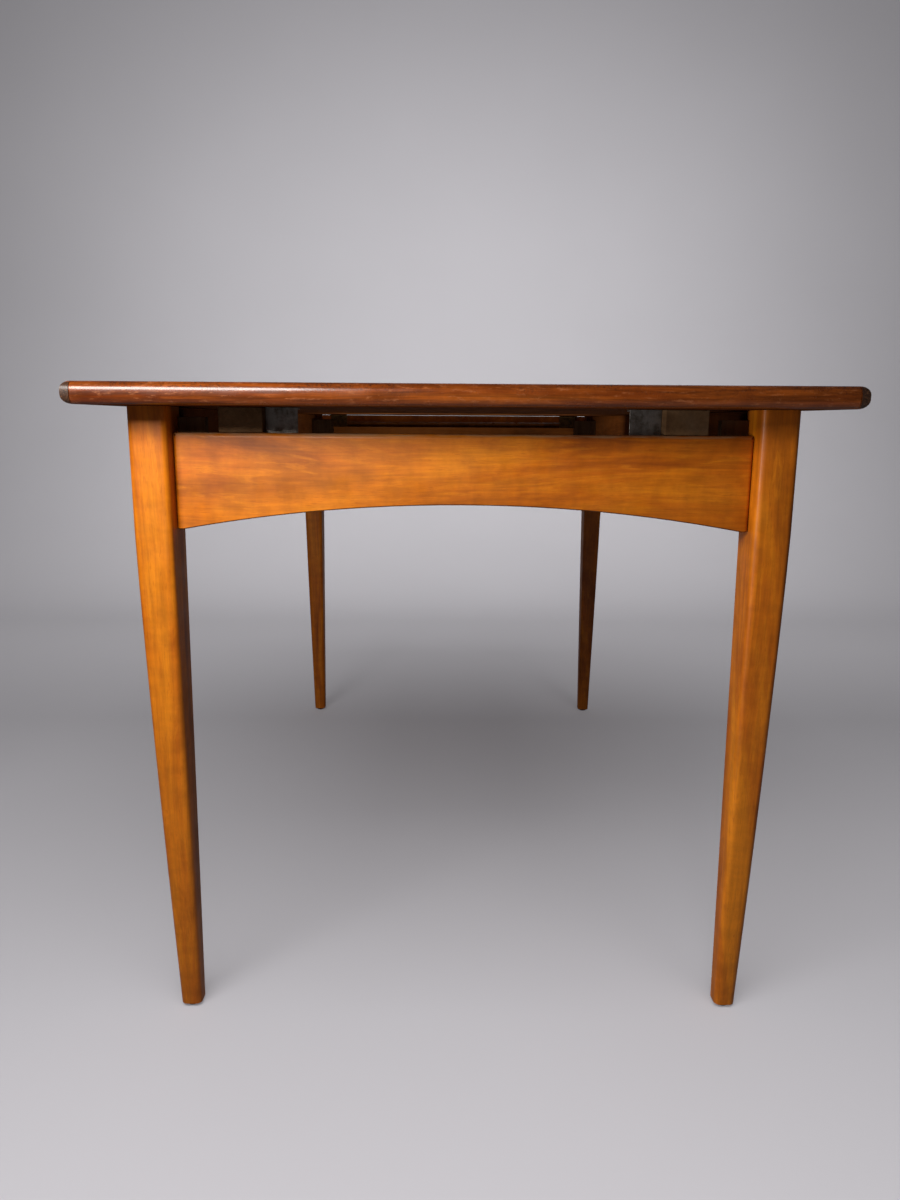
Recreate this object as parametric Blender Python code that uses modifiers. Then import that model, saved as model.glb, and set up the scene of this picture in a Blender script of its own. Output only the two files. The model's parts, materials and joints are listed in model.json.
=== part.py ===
"""Drop leaf table: a frame of tapered legs and arched aprons under a lipped top, with one leaf
that hangs from a rule joint at the far end and swings up on two hinges and two folding stays.

Frame: X is the table's width, Y its length with the leaf at +Y, Z is up. The origin is on the
floor, in the middle of the table with its leaf hanging. Everything is in metres.
"""
import math

import bmesh
import bpy
from mathutils import Matrix, Vector

# Overall
HEIGHT = 0.737
TOP_WIDTH = 0.780
BASE_LENGTH = 1.200
NEAR_OVERHANG = 0.061
SIDE_OVERHANG = 0.040
HINGE_OVERHANG = 0.065
GAP = 0.0003
WELD_DISTANCE = 0.000001
FLAT_ANGLE = 0.001
SHARP_ANGLE = 0.6

# Top and leaf
TOP_THICKNESS = 0.022
LEAF_LENGTH = 0.205
LIPPING = 0.0085
NOSE_RADIUS = 0.0095
RULE_STEP = 0.004
RULE_GAP = 0.0005

# Legs
LEG_WIDTH = 0.041
LEG_DEPTH = 0.056
LEG_BLOCK = 0.130
FOOT_WIDTH = 0.0245
FOOT_DEPTH = 0.0243
FOOT_SHIFT_X = 0.0125
FOOT_SHIFT_Y = 0.0252
TAPER_BOW = 1.27
LEG_ARRIS = 0.007
LEG_RINGS = 12
GLIDE_HEIGHT = 0.004
GLIDE_RADIUS = 0.0095

# Aprons and side rails
APRON_DROP = 0.0275
APRON_DEPTH = 0.1025
APRON_RISE = 0.0275
APRON_THICKNESS = 0.022
APRON_RECESS = 0.019
APRON_ROUND = 0.005
RAIL_DEPTH = 0.110
RAIL_RISE = 0.018
RAIL_THICKNESS = 0.020
RAIL_RECESS = 0.010
ARCH_POINTS = 24

# Bearers and brackets under the top
BEARER_WIDTH = 0.047
BEARER_INSET = 0.048
BEARER_SETBACK = 0.006
BEARER_LENGTH = 0.075
BRACKET_WIDTH = 0.0345
BRACKET_PLATE = 0.002
BRACKET_REACH = 0.026
BRACKET_DROP = 0.062
BRACKET_CORNER = 0.010

# Corner blocks, hanger bolts and wing nuts
BLOCK_DROP = 0.011
BLOCK_DEPTH = 0.062
BLOCK_REACH_X = 0.030
BLOCK_REACH_Y = 0.050
BLOCK_FACE = 0.012
BOLT_RADIUS = 0.004
BOLT_DROP = 0.058
BOLT_IN_LEG = 0.024
BOLT_LENGTH = 0.066
BOLT_HOLE_CLEAR = 0.0005
NUT_RADIUS = 0.008
NUT_LENGTH = 0.008
WING_SPAN = 0.034
WING_HEIGHT = 0.012
WING_THICKNESS = 0.003

# Hinges
HINGE_INSET = 0.112
HINGE_WIDTH = 0.038
HINGE_FIXED_REACH = 0.032
HINGE_LEAF_REACH = 0.052
HINGE_PLATE = 0.0017
KNUCKLE_RADIUS = 0.004
KNUCKLE_BORE = 0.0022
KNUCKLE_GAP = 0.0004
KNUCKLE_CLEAR = 0.0006
HINGE_PIN_RADIUS = 0.0019

# Folding stays, measured outwards and downwards from the hinge axis
STAY_INSET = 0.196
STAY_PIVOT_OUT = 0.061
STAY_PIVOT_DOWN = 0.070
LEAF_PIVOT_REACH = 0.110
LEAF_PIVOT_STANDOFF = 0.012
BAR_HALF_WIDTH = 0.0065
BAR_THICKNESS = 0.003
BAR_GAP = 0.0005
STUD_RADIUS = 0.003
STUD_CLEAR = 0.00005
KNEE_CLEAR = 0.0005
STUD_HEAD_RADIUS = 0.005
STUD_HEAD = 0.0015
STAY_PLATE = 0.002
STAY_PLATE_WIDTH = 0.022
STAY_PLATE_HALF = 0.014
ROUND_SIDES = 32

# Sizes that follow from those above
HALF_WIDTH = TOP_WIDTH / 2
UNDERSIDE = HEIGHT - TOP_THICKNESS
FULL_LENGTH = NEAR_OVERHANG + BASE_LENGTH + HINGE_OVERHANG + TOP_THICKNESS
NEAR_END = -FULL_LENGTH / 2
HINGE_Y = FULL_LENGTH / 2 - TOP_THICKNESS
NEAR_LEGS = NEAR_END + NEAR_OVERHANG
FAR_LEGS = NEAR_LEGS + BASE_LENGTH
LEG_OUTER = HALF_WIDTH - SIDE_OVERHANG
LEG_INNER = LEG_OUTER - LEG_WIDTH
LEG_TOP = UNDERSIDE - GAP
LEG_FOOT = GLIDE_HEIGHT + GAP
APRON_TOP = UNDERSIDE - APRON_DROP
APRON_BOTTOM = APRON_TOP - APRON_DEPTH
RULE_RADIUS = TOP_THICKNESS - RULE_STEP
BEARER_OUTER = LEG_INNER - BEARER_INSET
BEARER_INNER = BEARER_OUTER - BEARER_WIDTH
RAIL_OUTER = LEG_OUTER - RAIL_RECESS
RAIL_INNER = RAIL_OUTER - RAIL_THICKNESS
HINGE_X = HALF_WIDTH - HINGE_INSET
STAY_X = HALF_WIDTH - STAY_INSET
ENDS = {"near": -1, "far": 1}
SIDES = {"left": -1, "right": 1}


def leg_face(end):
    """Y of the outer face of the legs at one end."""
    return NEAR_LEGS if end < 0 else FAR_LEGS


def collection(name):
    made = bpy.data.collections.new(name)
    bpy.context.scene.collection.children.link(made)
    return made


def clear_scene():
    for thing in list(bpy.data.objects):
        bpy.data.objects.remove(thing, do_unlink=True)


def material(name, colour, roughness, metallic=0.0):
    made = bpy.data.materials.new(name)
    made.use_nodes = True
    shader = made.node_tree.nodes["Principled BSDF"]
    shader.inputs["Base Color"].default_value = (*colour, 1.0)
    shader.inputs["Roughness"].default_value = roughness
    shader.inputs["Metallic"].default_value = metallic
    made.diffuse_color = (*colour, 1.0)
    return made


def base_wood(name):
    return material(name, (0.52, 0.23, 0.055), 0.42)


def top_wood(name):
    return material(name, (0.30, 0.10, 0.030), 0.38)


def inner_wood(name):
    return material(name, (0.28, 0.12, 0.040), 0.60)


def steel(name):
    return material(name, (0.42, 0.42, 0.41), 0.40, 1.0)


def brass(name):
    return material(name, (0.60, 0.42, 0.16), 0.38, 1.0)


def plastic(name):
    return material(name, (0.05, 0.04, 0.035), 0.55)


def add_object(name, mesh, group, finish=None):
    made = bpy.data.objects.new(name, mesh)
    group.objects.link(made)
    if finish:
        mesh.materials.append(finish(name))
    return made


def box_mesh(name, low, high):
    """A cube stretched between two corners, given in any order."""
    low, high = Vector(low), Vector(high)
    size = Vector(abs(b - a) for a, b in zip(low, high))
    form = bmesh.new()
    bmesh.ops.create_cube(form, size=1.0)
    place = Matrix.Translation((low + high) / 2) @ Matrix.Diagonal((*size, 1.0))
    bmesh.ops.transform(form, matrix=place, verts=form.verts)
    mesh = bpy.data.meshes.new(name)
    form.to_mesh(mesh)
    form.free()
    return mesh


def rod_mesh(name, start, end, radius, sides=ROUND_SIDES):
    """A round bar from one point to another."""
    start, end = Vector(start), Vector(end)
    form = bmesh.new()
    length = (end - start).length
    bmesh.ops.create_cone(form, cap_ends=True, segments=sides, radius1=radius, radius2=radius, depth=length)
    turn = (end - start).to_track_quat("Z", "Y").to_matrix().to_4x4()
    bmesh.ops.transform(form, matrix=Matrix.Translation((start + end) / 2) @ turn, verts=form.verts)
    mesh = bpy.data.meshes.new(name)
    form.to_mesh(mesh)
    form.free()
    return mesh


def slab_mesh(name, outline, axis, start, end):
    """A flat outline in the plane across an axis, extruded along that axis from start to end.

    The outline's two coordinates are (y, z) across X, (x, z) across Y and (x, y) across Z.
    """
    frames = {
        "X": ((0, 1, 0), (0, 0, 1), (1, 0, 0)),
        "Y": ((1, 0, 0), (0, 0, 1), (0, -1, 0)),
        "Z": ((1, 0, 0), (0, 1, 0), (0, 0, 1)),
    }
    across, up, along = (Vector(v) for v in frames[axis])
    curve = bpy.data.curves.new(name + "_outline", "CURVE")
    curve.dimensions = "2D"
    curve.fill_mode = "BOTH"
    curve.extrude = abs(end - start) / 2
    spline = curve.splines.new("POLY")
    spline.points.add(len(outline) - 1)
    for point, (a, b) in zip(spline.points, outline):
        point.co = (a, b, 0.0, 1.0)
    spline.use_cyclic_u = True
    guide = bpy.data.objects.new(name + "_outline", curve)
    bpy.context.scene.collection.objects.link(guide)
    bpy.context.view_layer.update()
    mesh = bpy.data.meshes.new_from_object(guide.evaluated_get(bpy.context.evaluated_depsgraph_get()))
    bpy.data.objects.remove(guide, do_unlink=True)
    centre = Vector((abs(along.x), abs(along.y), abs(along.z))) * (start + end) / 2
    turn = Matrix((across, up, along)).transposed().to_4x4()
    form = bmesh.new()
    form.from_mesh(mesh)
    bmesh.ops.remove_doubles(form, verts=form.verts, dist=WELD_DISTANCE)
    bmesh.ops.dissolve_limit(form, angle_limit=FLAT_ANGLE, verts=form.verts, edges=form.edges)
    bmesh.ops.transform(form, matrix=Matrix.Translation(centre) @ turn, verts=form.verts)
    bmesh.ops.recalc_face_normals(form, faces=form.faces)
    form.to_mesh(mesh)
    form.free()
    return mesh


def arc(centre, radius, start, end, steps):
    """Points on an arc, angles in degrees."""
    angles = [math.radians(start + (end - start) * i / steps) for i in range(steps + 1)]
    return [(centre[0] + radius * math.cos(a), centre[1] + radius * math.sin(a)) for a in angles]


def circular_hole(radius):
    """Corner radius of a faceted hole whose flats just clear the given radius."""
    return radius / math.cos(math.pi / ROUND_SIDES)


def tool(name, mesh, cutters):
    made = add_object(name, mesh, cutters)
    made.hide_render = True
    made.display_type = "WIRE"
    return made


def combine(target, operand, operation):
    step = target.modifiers.new(operand.name, "BOOLEAN")
    step.operation = operation
    step.solver = "EXACT"
    step.object = operand


def cut(target, operand):
    combine(target, operand, "DIFFERENCE")


def join(target, operand):
    combine(target, operand, "UNION")


def round_edges(target, radius, wanted, segments=6):
    """Rounds the edges whose two ends both pass the test."""
    mesh = target.data
    weight = mesh.attributes.new("bevel_weight_edge", "FLOAT", "EDGE")
    for edge in mesh.edges:
        ends = [mesh.vertices[i].co for i in edge.vertices]
        weight.data[edge.index].value = 1.0 if wanted(*ends) else 0.0
    step = target.modifiers.new("rounded", "BEVEL")
    step.limit_method = "WEIGHT"
    step.width = radius
    step.segments = segments
    step.use_clamp_overlap = True


def same(a, b):
    return abs(a - b) < GAP / 2


def smooth(target):
    target.data.shade_smooth()
    target.data.set_sharp_from_angle(angle=SHARP_ANGLE)


def pivot(name, place, members):
    """An empty on a joint's axis that carries the pieces that turn about it."""
    axis = bpy.data.objects.new(name, None)
    axis.location = place
    members[0].users_collection[0].objects.link(axis)
    bpy.context.view_layer.update()
    for member in members:
        member.parent = axis
        member.matrix_parent_inverse = axis.matrix_world.inverted()


def fixed_top(parts, cutters):
    """Panel, two side lippings and a near lipping, with the rule joint's ovolo at the far end."""
    far = HINGE_Y + RULE_RADIUS
    panel_side = HALF_WIDTH - LIPPING - GAP
    panel_near = NEAR_END + LIPPING + GAP
    outline = [(HINGE_Y, HEIGHT + RULE_STEP)]
    outline += arc((HINGE_Y, UNDERSIDE), RULE_RADIUS, 90, 0, ARCH_POINTS // 2)
    outline += [(far, UNDERSIDE - RULE_STEP), (far + RULE_STEP, UNDERSIDE - RULE_STEP)]
    outline += [(far + RULE_STEP, HEIGHT + RULE_STEP)]
    ovolo = tool("ovolo_cutter", slab_mesh("ovolo_cutter", outline, "X", -TOP_WIDTH, TOP_WIDTH), cutters)

    panel = add_object("top_panel", box_mesh("top_panel", (-panel_side, panel_near, UNDERSIDE),
                                             (panel_side, far, HEIGHT)), parts, top_wood)
    cut(panel, ovolo)
    for word, side in SIDES.items():
        groove = KNUCKLE_RADIUS + KNUCKLE_CLEAR
        half = HINGE_WIDTH / 2 + KNUCKLE_CLEAR
        ends = [(side * HINGE_X + shift, HINGE_Y, UNDERSIDE) for shift in (-half, half)]
        cut(panel, tool("hinge_groove_" + word, rod_mesh("hinge_groove_" + word, *ends, groove), cutters))

        name = "top_lipping_" + word
        lipping = add_object(name, box_mesh(name, (side * (HALF_WIDTH - LIPPING), NEAR_END, UNDERSIDE),
                                            (side * HALF_WIDTH, far, HEIGHT)), parts, top_wood)
        outer = side * HALF_WIDTH
        round_edges(lipping, NOSE_RADIUS, lambda a, b: (
            same(a.x, outer) and same(b.x, outer) and same(a.z, b.z)
            or same(a.y, NEAR_END) and same(b.y, NEAR_END) and same(a.z, b.z)))
        cut(lipping, ovolo)
        smooth(lipping)

    name = "top_lipping_near"
    nose = add_object(name, box_mesh(name, (-panel_side, NEAR_END, UNDERSIDE),
                                     (panel_side, NEAR_END + LIPPING, HEIGHT)), parts, top_wood)
    round_edges(nose, NOSE_RADIUS,
                lambda a, b: same(a.y, NEAR_END) and same(b.y, NEAR_END) and same(a.z, b.z))
    smooth(nose)


def leaf(parts, cutters):
    """The hanging leaf: its underside faces the frame and its cove wraps the top's ovolo."""
    inner, outer = HINGE_Y, HINGE_Y + TOP_THICKNESS
    high = UNDERSIDE - RULE_GAP
    low = UNDERSIDE - LEAF_LENGTH
    side_x = HALF_WIDTH - LIPPING - GAP
    ends = [(x, HINGE_Y, UNDERSIDE) for x in (-TOP_WIDTH, TOP_WIDTH)]
    radius = circular_hole(RULE_RADIUS + RULE_GAP)
    cove = tool("cove_cutter", rod_mesh("cove_cutter", *ends, radius, 2 * ROUND_SIDES), cutters)
    panel = add_object("leaf_panel", box_mesh("leaf_panel", (-side_x, inner, low + LIPPING + GAP),
                                              (side_x, outer, high)), parts, top_wood)
    cut(panel, cove)
    pieces = [panel]
    for word, side in SIDES.items():
        name = "leaf_lipping_" + word
        edge = side * HALF_WIDTH
        lipping = add_object(name, box_mesh(name, (side * (HALF_WIDTH - LIPPING), inner, low),
                                            (edge, outer, high)), parts, top_wood)
        round_edges(lipping, NOSE_RADIUS, lambda a, b: (
            same(a.x, edge) and same(b.x, edge) and same(a.y, b.y)
            or same(a.z, low) and same(b.z, low) and same(a.y, b.y)))
        cut(lipping, cove)
        smooth(lipping)
        pieces.append(lipping)
    name = "leaf_lipping_end"
    nose = add_object(name, box_mesh(name, (-side_x, inner, low), (side_x, outer, low + LIPPING)),
                      parts, top_wood)
    round_edges(nose, NOSE_RADIUS, lambda a, b: same(a.z, low) and same(b.z, low) and same(a.y, b.y))
    smooth(nose)
    pieces.append(nose)
    return pieces


def shape_leg(form, side, end):
    """Draws the ring of corners at each height in towards the foot, with a slight bow."""
    shoulder = UNDERSIDE - LEG_BLOCK
    outer_y = leg_face(end)
    inner_y = outer_y - end * LEG_DEPTH
    drift_x = LEG_WIDTH - FOOT_SHIFT_X - FOOT_WIDTH
    drift_y = LEG_DEPTH - FOOT_SHIFT_Y - FOOT_DEPTH
    for corner in form.verts:
        share = max(0.0, (shoulder - corner.co.z) / (shoulder - LEG_FOOT))
        bowed = share ** TAPER_BOW
        if same(corner.co.x, side * LEG_OUTER):
            corner.co.x -= side * FOOT_SHIFT_X * bowed
        else:
            corner.co.x += side * drift_x * share
        if same(corner.co.y, inner_y):
            corner.co.y += end * drift_y * share
        else:
            corner.co.y -= end * FOOT_SHIFT_Y * bowed


def leg(word, side, end, parts, cutters):
    """A tapered leg: a straight block beside the aprons, then four faces running in to the foot."""
    name = "leg_" + word
    outer_y = leg_face(end)
    mesh = box_mesh(name, (side * LEG_INNER, outer_y - end * LEG_DEPTH, LEG_FOOT),
                    (side * LEG_OUTER, outer_y, LEG_TOP))
    shoulder = UNDERSIDE - LEG_BLOCK
    form = bmesh.new()
    form.from_mesh(mesh)
    for ring in range(1, LEG_RINGS + 1):
        height = LEG_FOOT + (shoulder - LEG_FOOT) * ring / LEG_RINGS
        bmesh.ops.bisect_plane(form, geom=form.verts[:] + form.edges[:] + form.faces[:],
                               plane_co=(0, 0, height), plane_no=(0, 0, 1))
    shape_leg(form, side, end)
    form.to_mesh(mesh)
    form.free()
    made = add_object(name, mesh, parts, base_wood)
    round_edges(made, LEG_ARRIS, lambda a, b: not same(a.z, b.z))
    cut(made, bolt_tool("leg_bore_" + word, side, end, cutters))
    smooth(made)


def glide(word, side, end, parts):
    """A turned foot glide under the middle of the leg's foot."""
    name = "glide_" + word
    profile = [(0.0, GLIDE_HEIGHT), (GLIDE_RADIUS, GLIDE_HEIGHT), (GLIDE_RADIUS, GLIDE_HEIGHT / 2),
               (GLIDE_RADIUS - GLIDE_HEIGHT / 2, 0.0), (0.0, 0.0)]
    form = bmesh.new()
    corners = [form.verts.new((r, 0.0, z)) for r, z in profile]
    for a, b in zip(corners, corners[1:]):
        form.edges.new((a, b))
    mesh = bpy.data.meshes.new(name)
    form.to_mesh(mesh)
    form.free()
    made = add_object(name, mesh, parts, plastic)
    made.location = (side * (LEG_OUTER - FOOT_SHIFT_X - FOOT_WIDTH / 2),
                     leg_face(end) - end * (FOOT_SHIFT_Y + FOOT_DEPTH / 2), 0.0)
    turn = made.modifiers.new("turned", "SCREW")
    turn.steps = turn.render_steps = ROUND_SIDES
    turn.use_merge_vertices = True
    turn.merge_threshold = WELD_DISTANCE
    smooth(made)


def arched_outline(half, top, bottom, rise, foot):
    """A board with a straight top edge and an arch sprung between two short flats below."""
    run = half - foot
    radius = (run * run + rise * rise) / (2 * rise)
    sweep = math.degrees(math.asin(run / radius))
    centre = (0.0, bottom + rise - radius)
    under = arc(centre, radius, 90 + sweep, 90 - sweep, ARCH_POINTS)
    return [(-half, top), (-half, bottom)] + under + [(half, bottom), (half, top)]


def end_apron(word, end, parts):
    """An arched board across the end, set back behind the legs, its face rounded at top and ends."""
    name = "apron_" + word
    outer = leg_face(end) - end * APRON_RECESS
    inner = outer - end * APRON_THICKNESS
    outline = arched_outline(LEG_INNER - GAP, APRON_TOP, APRON_BOTTOM, APRON_RISE, LEG_ARRIS)
    made = add_object(name, slab_mesh(name, outline, "Y", min(outer, inner), max(outer, inner)),
                      parts, base_wood)
    round_edges(made, APRON_ROUND, lambda a, b: (
        same(a.y, outer) and same(b.y, outer)
        and (same(a.z, b.z) and same(a.z, APRON_TOP) or same(a.x, b.x))))
    smooth(made)


def side_rail(word, side, parts):
    """A long board between the near and far legs, up to the top's underside."""
    name = "rail_" + word
    half = BASE_LENGTH / 2 - LEG_DEPTH - GAP
    outline = arched_outline(half, UNDERSIDE - GAP, UNDERSIDE - RAIL_DEPTH, RAIL_RISE, LEG_ARRIS)
    middle = (NEAR_LEGS + FAR_LEGS) / 2
    outline = [(y + middle, z) for y, z in outline]
    faces = sorted((side * RAIL_INNER, side * RAIL_OUTER))
    add_object(name, slab_mesh(name, outline, "X", *faces), parts, base_wood)


def bearer(word, side, parts):
    """A short bearer block that lies on the near apron and carries the top."""
    name = "bearer_" + word
    near = NEAR_LEGS + APRON_RECESS + BEARER_SETBACK
    far = near + BEARER_LENGTH
    add_object(name, box_mesh(name, (side * BEARER_INNER, near, APRON_TOP + GAP),
                              (side * BEARER_OUTER, far, UNDERSIDE - GAP)), parts, inner_wood)


def bracket(word, side, parts, cutters):
    """An angle bracket: one leg on the near apron's inner face, the other under the top."""
    name = "bracket_" + word
    end = ENDS["near"]
    face = leg_face(end) - end * (APRON_RECESS + APRON_THICKNESS + GAP)
    back = face - end * BRACKET_PLATE
    tip = face - end * BRACKET_REACH
    top = UNDERSIDE - GAP
    outline = [(face, top), (face, top - BRACKET_DROP), (back, top - BRACKET_DROP),
               (back, top - BRACKET_PLATE), (tip, top - BRACKET_PLATE), (tip, top)]
    outer = BEARER_INNER - GAP
    inner = outer - BRACKET_WIDTH
    faces = sorted((side * inner, side * outer))
    made = add_object(name, slab_mesh(name, outline, "X", *faces), parts, steel)
    x, y, reach = side * inner, tip, BRACKET_CORNER
    triangle = [(x - side * reach, y - end * reach), (x - side * reach, y + end * 2 * reach),
                (x + side * 2 * reach, y - end * reach)]
    knife = slab_mesh(name + "_corner", triangle, "Z", top - 2 * BRACKET_PLATE, top + BRACKET_PLATE)
    cut(made, tool(name + "_corner", knife, cutters))


def bolt_line(side, end, start, reach):
    """Two points on the level diagonal through the leg's inner corner, out of the leg."""
    corner = Vector((side * LEG_INNER, leg_face(end) - end * LEG_DEPTH, 0.0))
    corner.z = UNDERSIDE - BOLT_DROP
    inward = Vector((-side, -end, 0.0)).normalized()
    return corner + inward * start, corner + inward * reach


def bolt_tool(name, side, end, cutters):
    """The bore for the hanger bolt, through the corner block and into the leg."""
    points = bolt_line(side, end, -BOLT_IN_LEG - BOLT_HOLE_CLEAR, BOLT_LENGTH)
    return tool(name, rod_mesh(name, *points, BOLT_RADIUS + BOLT_HOLE_CLEAR), cutters)


def corner_block(word, side, end, parts, cutters):
    """A block glued between apron and rail, notched round the leg, with a face across the corner."""
    name = "corner_block_" + word
    leg_x, leg_y = LEG_INNER - GAP, leg_face(end) - end * (LEG_DEPTH + GAP)
    apron_y = leg_face(end) - end * (APRON_RECESS + APRON_THICKNESS + GAP)
    rail_x = RAIL_INNER - GAP
    far_x, far_y = LEG_INNER - BLOCK_REACH_X, leg_y - end * BLOCK_REACH_Y
    plan = [(far_x, apron_y), (leg_x, apron_y), (leg_x, leg_y), (rail_x, leg_y), (rail_x, far_y),
            (rail_x - BLOCK_FACE, far_y), (far_x, apron_y - end * BLOCK_FACE)]
    plan = [(side * x, y) for x, y in plan]
    top = UNDERSIDE - BLOCK_DROP
    made = add_object(name, slab_mesh(name, plan, "Z", top - BLOCK_DEPTH, top), parts, inner_wood)
    cut(made, bolt_tool("block_bore_" + word, side, end, cutters))


def hanger_bolt(word, side, end, parts):
    """The threaded bolt that draws the leg into the corner."""
    name = "hanger_bolt_" + word
    made = add_object(name, rod_mesh(name, *bolt_line(side, end, -BOLT_IN_LEG, BOLT_LENGTH - BOLT_IN_LEG),
                                     BOLT_RADIUS), parts, steel)
    smooth(made)


def wing_nut(word, side, end, parts, cutters):
    """A wing nut on the bolt, just clear of the block's diagonal face."""
    name = "wing_nut_" + word
    corner = Vector((LEG_INNER, LEG_DEPTH))
    face_a = Vector((RAIL_INNER - GAP - BLOCK_FACE, LEG_DEPTH + GAP + BLOCK_REACH_Y))
    face_b = Vector((LEG_INNER - BLOCK_REACH_X, APRON_RECESS + APRON_THICKNESS + GAP + BLOCK_FACE))
    inward = Vector((-1.0, 1.0)).normalized()
    along = (face_b - face_a).normalized()
    normal = Vector((-along.y, along.x))
    if normal.dot(inward) < 0:
        normal.negate()
    seat = (face_a - corner).dot(normal) / inward.dot(normal)
    lean = abs(inward.cross(normal)) / inward.dot(normal)
    start = seat + lean * NUT_RADIUS + GAP
    low, high = bolt_line(side, end, start, start + NUT_LENGTH)
    made = add_object(name, rod_mesh(name, low, high, NUT_RADIUS), parts, steel)
    middle, tip = bolt_line(side, end, start + NUT_LENGTH / 2, start + NUT_LENGTH / 2 + WING_HEIGHT)
    half = WING_THICKNESS / 2
    form = box_mesh(name + "_wings", (-WING_SPAN / 2, -half, 0.0), (WING_SPAN / 2, half, WING_HEIGHT))
    turn = (tip - middle).to_track_quat("Z", "Y").to_matrix().to_4x4()
    form.transform(Matrix.Translation(middle) @ turn)
    join(made, tool(name + "_wings", form, cutters))
    ends = bolt_line(side, end, 0.0, BOLT_LENGTH)
    bore = circular_hole(BOLT_RADIUS + STUD_CLEAR)
    cut(made, tool(name + "_bore", rod_mesh(name + "_bore", *ends, bore), cutters))
    smooth(made)


def hinge_third(side, index):
    """The X range of one of a hinge's three knuckles."""
    third = HINGE_WIDTH / 3
    low = side * HINGE_X - HINGE_WIDTH / 2 + index * third
    return low + KNUCKLE_GAP / 2, low + third - KNUCKLE_GAP / 2


def knuckled(made, spans, radius, cutters):
    """Adds knuckles to a hinge plate and drills them for the pin."""
    for index, (low, high) in enumerate(spans):
        name = f"{made.name}_knuckle_{index}"
        ends = [(x, HINGE_Y, UNDERSIDE) for x in (low, high)]
        join(made, tool(name, rod_mesh(name, *ends, radius), cutters))
    name = made.name + "_bore"
    ends = [(x, HINGE_Y, UNDERSIDE) for x in (spans[0][0] - GAP, spans[-1][1] + GAP)]
    cut(made, tool(name, rod_mesh(name, *ends, circular_hole(KNUCKLE_BORE)), cutters))
    smooth(made)


def hinge(word, side, parts, cutters):
    """A surface hinge: a short plate under the top, a long one on the leaf, and the pin."""
    half = HINGE_WIDTH / 2
    centre = side * HINGE_X
    clear = KNUCKLE_RADIUS + KNUCKLE_CLEAR
    overlap = KNUCKLE_BORE + KNUCKLE_GAP
    middle = hinge_third(side, 1)
    low, high = UNDERSIDE - GAP - HINGE_PLATE, UNDERSIDE - GAP

    name = "hinge_plate_fixed_" + word
    fixed = add_object(name, box_mesh(name, (centre - half, HINGE_Y - HINGE_FIXED_REACH, low),
                                      (centre + half, HINGE_Y - clear, high)), parts, brass)
    tab = box_mesh(name + "_tab", (middle[0], HINGE_Y - 2 * clear, low), (middle[1], HINGE_Y - overlap, high))
    join(fixed, tool(name + "_tab", tab, cutters))
    knuckled(fixed, [middle], KNUCKLE_RADIUS, cutters)

    name = "hinge_plate_leaf_" + word
    face = HINGE_Y - GAP
    plate = add_object(name, box_mesh(name, (centre - half, face - HINGE_PLATE, UNDERSIDE - HINGE_LEAF_REACH),
                                      (centre + half, face, UNDERSIDE - clear)), parts, brass)
    spans = [hinge_third(side, 0), hinge_third(side, 2)]
    for index, (left, right) in enumerate(spans):
        tab = box_mesh(f"{name}_tab_{index}", (left, face - HINGE_PLATE, UNDERSIDE - 2 * clear),
                       (right, face, UNDERSIDE - overlap))
        join(plate, tool(f"{name}_tab_{index}", tab, cutters))
    knuckled(plate, spans, KNUCKLE_RADIUS, cutters)

    name = "hinge_pin_" + word
    ends = [(centre + shift, HINGE_Y, UNDERSIDE) for shift in (-half, half)]
    pin = add_object(name, rod_mesh(name, *ends, HINGE_PIN_RADIUS), parts, steel)
    smooth(pin)
    return [plate]


def stay_points():
    """The three pivots of a stay, as (y, z), with the leaf hanging."""
    frame_pivot = Vector((HINGE_Y - STAY_PIVOT_OUT, UNDERSIDE - STAY_PIVOT_DOWN))
    leaf_pivot = Vector((HINGE_Y - LEAF_PIVOT_STANDOFF, UNDERSIDE - LEAF_PIVOT_REACH))
    knee = frame_pivot + leaf_pivot - Vector((HINGE_Y, UNDERSIDE))
    return frame_pivot, leaf_pivot, knee


def stay_layer(side, index):
    """The X range of the inner (0) or outer (1) layer of bars."""
    low = STAY_X - (1 - index) * (BAR_THICKNESS + BAR_GAP)
    return tuple(sorted((side * low, side * (low + BAR_THICKNESS))))


def bar_mesh(name, start, end, layer):
    """A flat bar with round ends centred on two pivots."""
    run = math.degrees(math.atan2(end.y - start.y, end.x - start.x))
    outline = arc(start, BAR_HALF_WIDTH, run + 90, run + 270, ROUND_SIDES // 2)
    outline += arc(end, BAR_HALF_WIDTH, run - 90, run + 90, ROUND_SIDES // 2)
    return slab_mesh(name, outline, "X", *layer)


def drill(made, word, place, radius, layer, cutters):
    name = f"{made.name}_{word}"
    ends = [(x, *place) for x in (layer[0] - BAR_GAP, layer[1] + BAR_GAP)]
    cut(made, tool(name, rod_mesh(name, *ends, circular_hole(radius)), cutters))


def stud(made, place, own, other, cutters):
    """A headed stud on one layer's piece that passes through the other layer's piece."""
    name = made.name + "_stud"
    outward = 1 if sum(other) > sum(own) else -1
    root = sum(own) / 2
    far = max(other) if outward > 0 else min(other)
    head_low = far + outward * BAR_GAP
    head_high = head_low + outward * STUD_HEAD
    shaft = rod_mesh(name, (root, *place), (head_low + outward * STUD_HEAD / 2, *place), STUD_RADIUS)
    join(made, tool(name, shaft, cutters))
    head = rod_mesh(name + "_head", (head_low, *place), (head_high, *place), STUD_HEAD_RADIUS)
    join(made, tool(name + "_head", head, cutters))


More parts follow.
